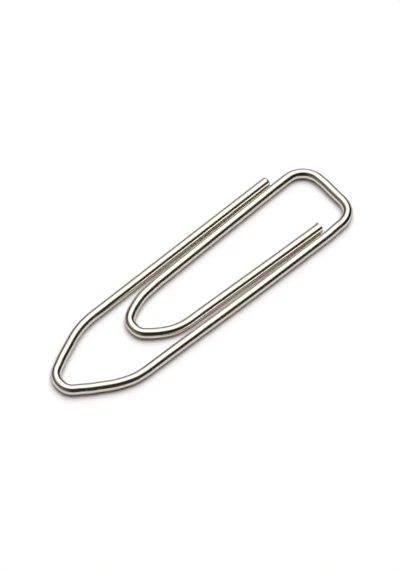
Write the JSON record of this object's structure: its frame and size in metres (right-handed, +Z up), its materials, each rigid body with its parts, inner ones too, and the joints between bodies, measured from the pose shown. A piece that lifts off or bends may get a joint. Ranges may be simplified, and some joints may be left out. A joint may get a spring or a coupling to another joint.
{
  "type": "paper clip",
  "caption": "Bent wire paper clip with a pointed nose, a square head and a sprung inner tongue that lifts to grip sheets of paper.",
  "frame": {"origin": "on the surface that the clip lies on, under the centre of its bounding box", "axes": "+X along the clip from its pointed nose to its head, +Y from the outer leg to the free leg, +Z up out of the plane of the clip"},
  "size_m": [0.032, 0.0088, 0.001],
  "materials": {
    "plated_wire": "bright nickel plate on drawn steel wire, with fine drawing lines"
  },
  "bodies": {
    "outer_loop": {"outer_leg": "plated_wire", "right_shoulder_bend": "plated_wire", "right_nose_flank": "plated_wire", "right_nose_bend": "plated_wire", "right_head_corner": "plated_wire", "outer_head_bar": "plated_wire"},
    "free_leg": {"free_leg": "plated_wire", "left_shoulder_bend": "plated_wire", "left_nose_flank": "plated_wire", "left_nose_bend": "plated_wire"},
    "tongue": {"sprung_head_bar": "plated_wire", "left_head_corner": "plated_wire", "tongue_leg": "plated_wire", "tongue_shoulder_bend": "plated_wire", "tongue_tip_bend": "plated_wire"},
    "tongue_tail": {"tail_tip_bend": "plated_wire", "tail_shoulder_bend": "plated_wire", "tongue_tail": "plated_wire"}
  },
  "joints": [
    {"name": "tongue_lift", "type": "hinge", "parent": "outer_loop", "child": "tongue", "pos_m": [0.01553, -0.00047, 0.00047], "axis": [0, 1, 0], "range_deg": [0, 12], "stiffness_Nm_per_rad": 0.35},
    {"name": "free_leg_lift", "type": "hinge", "parent": "outer_loop", "child": "free_leg", "pos_m": [-0.01553, -0.00013, 0.00047], "axis": [0, -1, 0], "range_deg": [0, 8], "stiffness_Nm_per_rad": 0.37},
    {"name": "tail_lift", "type": "hinge", "parent": "tongue", "child": "tongue_tail", "pos_m": [-0.00724, -0.00004, 0.00047], "axis": [0, -1, 0], "range_deg": [0, 6], "stiffness_Nm_per_rad": 0.62}
  ]
}
